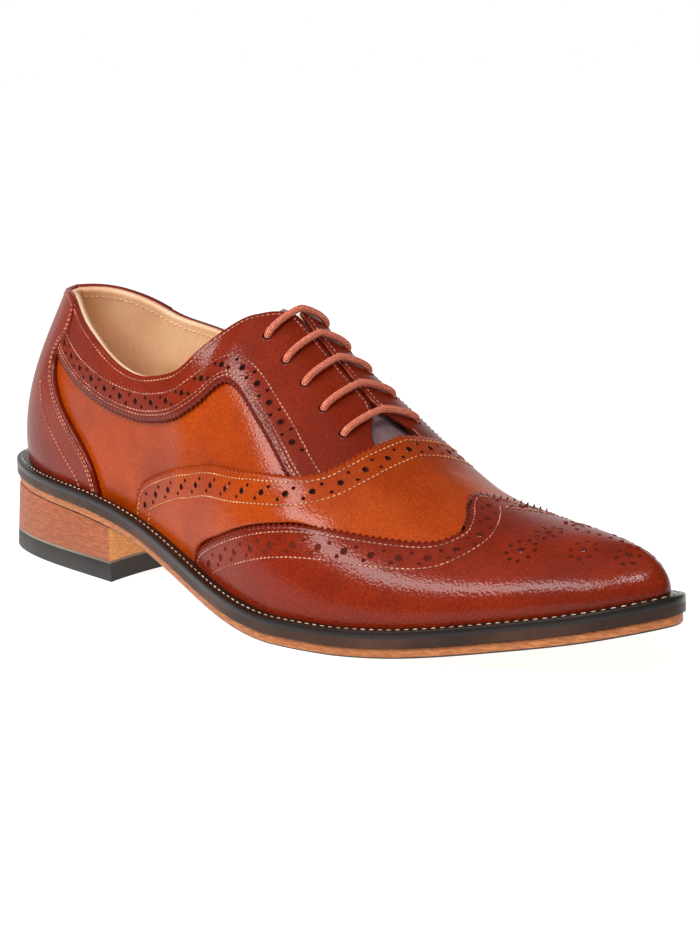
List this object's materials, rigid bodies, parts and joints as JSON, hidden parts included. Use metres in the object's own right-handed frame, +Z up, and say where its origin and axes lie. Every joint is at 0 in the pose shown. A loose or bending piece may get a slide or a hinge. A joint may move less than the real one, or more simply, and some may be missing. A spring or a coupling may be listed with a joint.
{
  "type": "brogue shoe",
  "caption": "Wing-tip brogue oxford for the right foot: two-tone perforated upper, laced closed, welt, leather sole and stacked heel.",
  "frame": {"origin": "on the floor, below the middle of the shoe's bounding box", "axes": "+X from heel to toe, +Y to the inner side of the foot, +Z up"},
  "size_m": [0.3082, 0.0988, 0.0963],
  "materials": {
    "tan_calf": "grained and polished, burnished at the edges",
    "brown_calf": "grained and polished",
    "tongue_calf": "grained and polished",
    "beige_lining": "undyed lining leather, matt",
    "black_edge": "black edge dressing, polished",
    "outsole_leather": "tan sole leather, satin",
    "stacked_heel": "stacked and stained, satin",
    "black_rubber": "matt",
    "lace_cord": "round waxed cord"
  },
  "bodies": {
    "root": {"facing_inner": "brown_calf", "facing_outer": "brown_calf", "heel_block": "stacked_heel", "heel_counter": "brown_calf", "heel_top_piece": "black_rubber", "insole": "beige_lining", "lace_bar_1": "lace_cord", "lace_bar_2": "lace_cord", "lace_bar_3": "lace_cord", "lace_bar_4": "lace_cord", "lace_bar_5": "lace_cord", "midsole": "black_edge", "outsole": "outsole_leather", "tongue": "tongue_calf", "upper": "tan_calf", "vamp": "tan_calf", "welt": "black_edge", "wing_cap": "brown_calf"}
  },
  "joints": []
}
